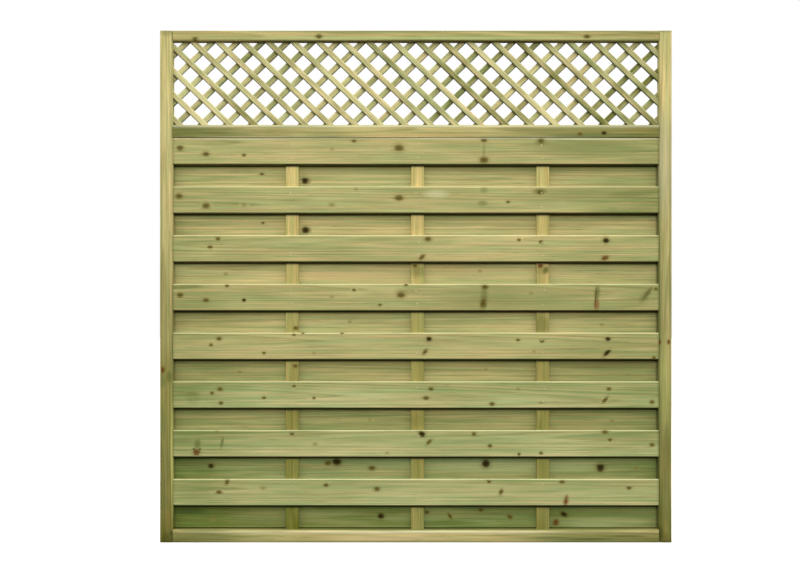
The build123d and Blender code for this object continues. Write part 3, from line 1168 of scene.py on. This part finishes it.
@dataclass(frozen=True)
class Fixings:
    """The nails of the boards and the staples of the trellis, with their sizes in metres.

    head_taper is a head's top over its foot, and head_round its rounding over its height.
    nail_stray is how far a nail may be from its place, along and up. wire_lift is how far over
    the lath a staple's middle line lies, in radii of its wire, and staple_margin how far inside
    the trellis a crossing has to be to get one.
    """

    zinc: Zinc = Zinc()
    boards_in_row: int = 8
    head_radius: float = 0.0028
    head_height: float = 0.0014
    head_sunk: float = 0.0005
    head_taper: float = 0.92
    head_round: float = 0.4
    head_sides: int = 12
    nail_spread: float = 0.023
    nail_stray: tuple[float, float] = (0.006, 0.003)
    nail_seed: int = 7
    wire_radius: float = 0.0006
    wire_sides: int = 6
    wire_lift: float = 0.8
    staple_crown: float = 0.0085
    staple_bend: float = 0.0012
    staple_leg: float = 0.0012
    staple_margin: float = 0.017

    def nail_head(self) -> bmesh.types.BMesh:
        """Makes a nail's head at the origin, domed, with its top towards +Z.

        Returns:
            The head.
        """
        work = bmesh.new()
        bmesh.ops.create_cone(
            work, cap_ends=True, segments=self.head_sides, radius1=self.head_radius,
            radius2=self.head_radius * self.head_taper, depth=self.head_height)
        top = max(work.faces, key=lambda face: face.calc_center_median().z)
        bmesh.ops.bevel(
            work, geom=list(top.edges), offset=self.head_height * self.head_round, segments=2,
            profile=0.5, affect="EDGES", material=-1)
        return work

    def staple(self) -> bmesh.types.BMesh:
        """Bends a staple at the origin, with its crown along X and its legs towards -Z.

        Returns:
            The staple.
        """
        work = bmesh.new()
        side = self.staple_crown / 2 + self.staple_bend
        end = bmesh.ops.create_circle(
            work, cap_ends=True, segments=self.wire_sides, radius=self.wire_radius)
        foot = (-side, 0.0, -self.staple_bend - self.staple_leg)
        bmesh.ops.translate(work, verts=end["verts"], vec=foot)
        runs = (
            (Vector((0.0, 0.0, self.staple_leg)), -side + self.staple_bend),
            (Vector((self.staple_crown, 0.0, 0.0)), side - self.staple_bend),
            (Vector((0.0, 0.0, -self.staple_leg)), None),
        )
        face = work.faces[:][0]
        for step, bend_at in runs:
            face = self.pushed(work, face, step)
            if bend_at is not None:
                turned = bmesh.ops.spin(
                    work, geom=[face], cent=(bend_at, 0.0, -self.staple_bend), axis=(0.0, 1.0, 0.0),
                    angle=math.radians(90), steps=2)
                last = turned["geom_last"]
                face = next(item for item in last if isinstance(item, bmesh.types.BMFace))
        return work

    def pushed(
        self, work: bmesh.types.BMesh, face: bmesh.types.BMFace, step: Vector
    ) -> bmesh.types.BMFace:
        """Draws a wire on from its end.

        Args:
            work: The mesh in hand.
            face: The wire's end.
            step: How far, and which way.

        Returns:
            The wire's new end.
        """
        made = bmesh.ops.extrude_discrete_faces(work, faces=[face])["faces"]
        bmesh.ops.translate(work, verts=made[0].verts[:], vec=step)
        return made[0]

    def finish(self, name: str, pattern: bmesh.types.BMesh, places: Sequence[Matrix]) -> None:
        """Sets a fastener in all its places, as one fixed piece of the panel.

        Args:
            name: The piece's name.
            pattern: One fastener, at the origin.
            places: Where each of them goes, and how it is turned.
        """
        bmesh.ops.recalc_face_normals(pattern, faces=pattern.faces[:])
        work = bmesh.new()
        for place in places:
            one = bpy.data.meshes.new(name)
            pattern.to_mesh(one)
            one.transform(place)
            work.from_mesh(one)
            bpy.data.meshes.remove(one)
        mesh = bpy.data.meshes.new(name)
        work.to_mesh(mesh)
        work.free()
        pattern.free()
        mesh.materials.append(self.zinc.build(f"hot_dipped_zinc_{name}"))
        piece = bpy.data.objects.new(name, mesh)
        bpy.context.scene.collection.objects.link(piece)
        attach(piece, "root")
        LOG.info("%s: %d of them, %d faces", name, len(places), len(mesh.polygons))

    def nail_places(self) -> list[Matrix]:
        """Drives two nails through each board into each batten, their heads just proud of its face.

        Returns:
            Each nail's place and turn.
        """
        wander = random.Random(self.nail_seed)
        along, up = self.nail_stray
        places = []
        for batten in ("left_batten", "middle_batten", "right_batten"):
            low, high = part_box(batten)
            for board, side in (("front_board", -1), ("back_board", 1)):
                turn = Matrix.Rotation(math.radians(-90 * side), 4, "X")
                for row in range(1, self.boards_in_row + 1):
                    board_low, board_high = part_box(f"{board}_{row}")
                    face = board_low.y if side < 0 else board_high.y
                    depth = face + side * (self.head_height / 2 - self.head_sunk)
                    for step in (-1, 1):
                        x = (low.x + high.x) / 2 + wander.uniform(-along, along)
                        z = (board_low.z + board_high.z) / 2 + step * self.nail_spread
                        z += wander.uniform(-up, up)
                        places.append(Matrix.Translation((x, depth, z)) @ turn)
        return places

    def staple_places(self) -> list[Matrix]:
        """Sets a staple on the back of each crossing of the laths, square to the back lath.

        Returns:
            Each staple's place and turn.
        """
        low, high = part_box("trellis")
        across_lath = Matrix.Rotation(Grain.RISING.value, 4, "Y")
        turn = across_lath @ Matrix.Rotation(math.radians(-90), 4, "X")
        rest = high.y + self.wire_radius * self.wire_lift
        crossings = LathRows().crossings(low, high, self.staple_margin)
        return [Matrix.Translation((x, rest, z)) @ turn for x, z in crossings]

    def make(self) -> None:
        """Makes the nails and the staples."""
        self.finish("nails", self.nail_head(), self.nail_places())
        self.finish("staples", self.staple(), self.staple_places())


@dataclass(frozen=True)
class Studio:
    """The floor, the sky dome, the soft lamps and the camera.

    The camera's sensor is in millimetres and the other sizes are in metres. horizon, zenith and
    ground are how bright the dome is at eye level, overhead and below, and horizon_band where it
    goes from the one below to the ones above, as the sine of the height. lamps gives each lamp's
    place from the panel's middle and its power in watts.
    """

    sensor: float = 36.0
    floor_size: float = 40.0
    floor_white: str = "#fafafa"
    floor_roughness: float = 0.9
    horizon: float = 1.0
    zenith: float = 2.0
    ground: float = 0.05
    horizon_band: tuple[float, float] = (-0.04, 0.02)
    lamps: tuple[tuple[str, tuple[float, float, float], float], ...] = (
        ("left_lamp", (-3.6, -2.0, 2.4), 45.0),
        ("right_lamp", (3.6, -2.0, 2.4), 45.0),
        ("front_lamp", (0.0, -4.6, 2.0), 60.0),
        ("back_lamp", (0.0, 4.6, 2.0), 110.0),
    )
    lamp_width: float = 1.8
    lamp_height: float = 2.2

    def make_camera(self) -> None:
        """Sets the camera where the photograph was taken from."""
        across, down = PHOTO.middle()
        pixel = PHOTO.metres_per_pixel()
        low, high = CAD_BOX
        middle = (low + high) / 2
        data = bpy.data.cameras.new("camera")
        data.sensor_width = self.sensor
        data.lens = self.sensor * PHOTO.distance / (PHOTO.wide * pixel)
        camera = bpy.data.objects.new("camera", data)
        camera.location = (
            middle.x - (across - PHOTO.wide / 2) * pixel,
            low.y - PHOTO.distance,
            middle.z + (down - PHOTO.high / 2) * pixel,
        )
        camera.rotation_euler = (math.radians(90), 0.0, 0.0)
        bpy.context.scene.collection.objects.link(camera)
        bpy.context.scene.camera = camera

    def make_floor(self) -> None:
        """Lays a white floor under the panel."""
        work = bmesh.new()
        bmesh.ops.create_grid(work, x_segments=1, y_segments=1, size=self.floor_size / 2)
        bmesh.ops.translate(work, verts=work.verts, vec=(0.0, 0.0, CAD_BOX[0].z))
        mesh = bpy.data.meshes.new("floor")
        work.to_mesh(mesh)
        work.free()
        floor = bpy.data.objects.new("floor", mesh)
        bpy.context.scene.collection.objects.link(floor)
        material = bpy.data.materials.new("matt_white_paper")
        material.use_nodes = True
        surface = material.node_tree.nodes["Principled BSDF"]
        surface.inputs["Base Color"].default_value = linear(self.floor_white)
        surface.inputs["Roughness"].default_value = self.floor_roughness
        mesh.materials.append(material)
        floor.visible_diffuse = False
        floor.visible_glossy = False

    def make_sky(self) -> None:
        """Lights the panel as an overcast sky does, brightest overhead, in front of pure white."""
        world = bpy.data.worlds.new("studio")
        world.use_nodes = True
        tree = world.node_tree
        tree.nodes.clear()
        direction = add_node(tree, "TexCoord", out="Generated")
        up = add_node(tree, "SeparateXYZ", (direction,), "Z")
        bright = add_node(tree, "MapRange", (up, 0.0, 1.0, self.horizon, self.zenith))
        above = add_node(tree, "MapRange", (up, *self.horizon_band))
        bright = add_node(tree, "Mix", {0: above, NUMBER_A: self.ground, NUMBER_B: bright})
        seen = add_node(tree, "LightPath", out="Is Camera Ray")
        strength = add_node(tree, "Mix", {0: seen, NUMBER_A: bright, NUMBER_B: 1.0})
        light = add_node(tree, "Background", ((1.0, 1.0, 1.0, 1.0), strength))
        add_node(tree, "OutputWorld", {"Surface": light})
        bpy.context.scene.world = world

    def make_lamps(self) -> None:
        """Hangs a large soft lamp on either side of the panel, one in front and one behind."""
        middle = (CAD_BOX[0] + CAD_BOX[1]) / 2
        for name, place, power in self.lamps:
            data = bpy.data.lights.new(name, "AREA")
            data.shape = "RECTANGLE"
            data.size, data.size_y = self.lamp_width, self.lamp_height
            data.energy = power
            offset = Vector(place)
            lamp = bpy.data.objects.new(name, data)
            lamp.location = middle + offset
            lamp.rotation_euler = (-offset).to_track_quat("-Z", "Y").to_euler()
            bpy.context.scene.collection.objects.link(lamp)

    def make(self) -> None:
        """Sets up the whole studio."""
        self.make_camera()
        self.make_floor()
        self.make_sky()
        self.make_lamps()
        bpy.context.scene.view_settings.view_transform = "Standard"
        LOG.info("studio set")


def main() -> None:
    """Builds the studio and dresses the panel, piece by piece."""
    logging.basicConfig(level=logging.INFO, format="%(name)s: %(message)s")
    Studio().make()
    Frame().dress()
    Battens().dress()
    BoardRows().dress()
    Trellis().dress()
    Fixings().make()


if __name__ == "__main__":
    main()
